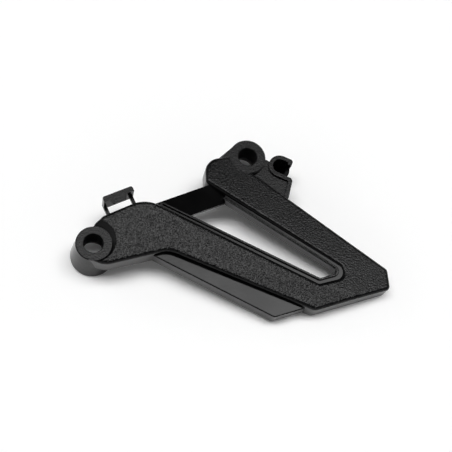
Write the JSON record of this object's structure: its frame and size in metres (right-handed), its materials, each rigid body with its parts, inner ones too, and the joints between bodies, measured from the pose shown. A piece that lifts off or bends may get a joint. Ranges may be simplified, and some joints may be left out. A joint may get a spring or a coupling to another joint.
{
  "type": "sprocket cover",
  "caption": "V-shaped moulded plastic cover for a motorbike's front sprocket, open in the middle, with bolt bosses on stand-offs, a smooth lower panel, a cable hook and a cable clip.",
  "frame": {"origin": "the middle of the heel boss's foot, on its bolt's axis, in the plane where the feet meet the engine", "axes": "+Z along the bolts, out from the engine; +X from the heel boss towards the tip"},
  "size_m": [0.1309, 0.0779, 0.0203],
  "materials": {
    "moulded_plastic": "black, finely grained on the arms, smooth on the lower panel, the bridge and the walls"
  },
  "bodies": {
    "root": {"sprocket_cover": "moulded_plastic"}
  },
  "joints": []
}
